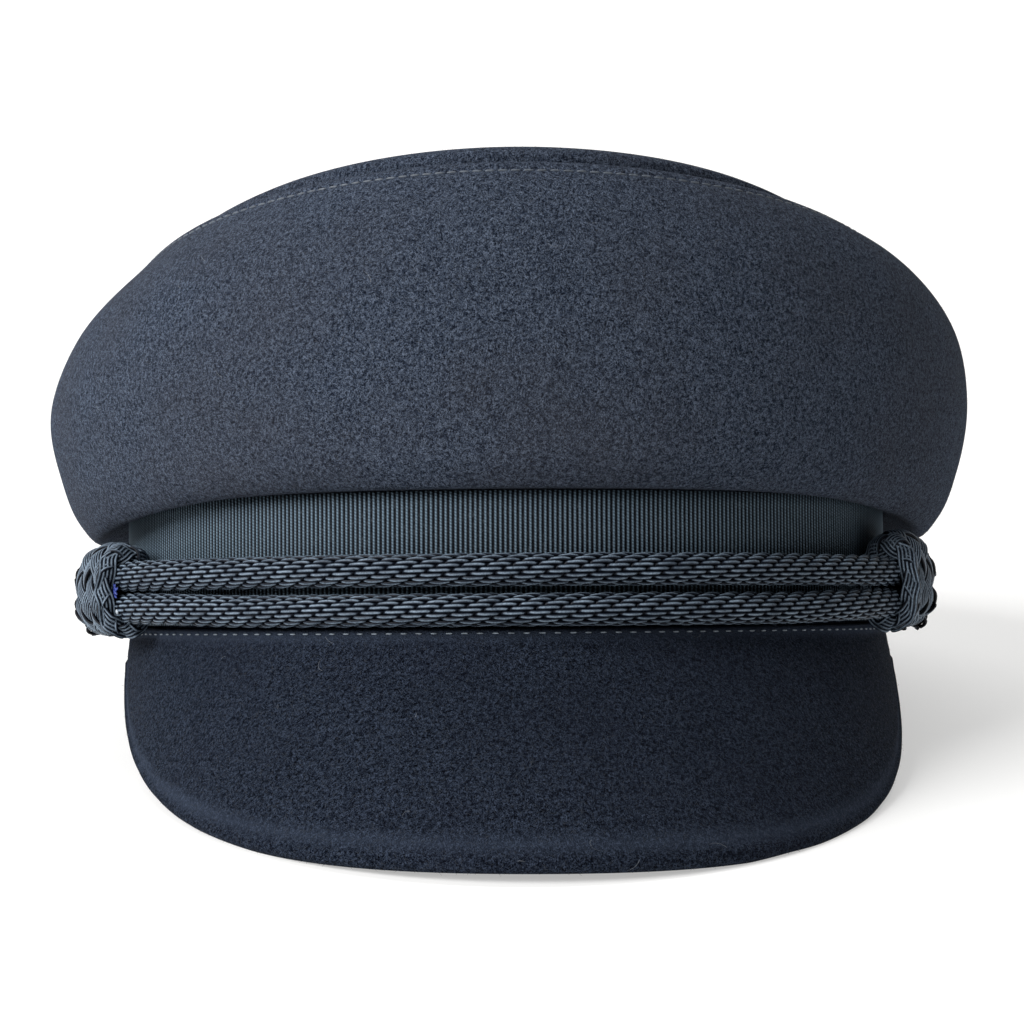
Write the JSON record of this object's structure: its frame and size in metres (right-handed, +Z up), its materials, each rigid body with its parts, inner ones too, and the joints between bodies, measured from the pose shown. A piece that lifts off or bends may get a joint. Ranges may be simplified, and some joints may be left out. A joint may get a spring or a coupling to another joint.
{
  "type": "sailor cap",
  "caption": "Sailor cap in dark wool felt: full crown, ribbed ribbon band, drooping peak, and a doubled rope cord held at the sides by woven knots.",
  "frame": {"origin": "centre of the bounding box's bottom: on the table, under the middle of the cap as it rests on its peak and the back of its band", "axes": "+Z up from the table, -Y to the front where the peak is, +X to the right of the picture; the band's plane leans back by 10.55 degrees"},
  "size_m": [0.2064, 0.2723, 0.1279],
  "materials": {
    "wool": "matte felted wool, dark navy, with short light fibres",
    "grosgrain": "ribbed ribbon, blue-grey, faint sheen on the ribs",
    "cord": "glossy twisted yarn, dark navy with pale highlights"
  },
  "bodies": {
    "root": {"crown_wall": "wool", "crown_top": "wool", "head_band": "wool", "ribbon": "grosgrain", "peak": "wool", "cord": "cord", "knot_left": "cord", "knot_right": "cord"}
  },
  "joints": []
}
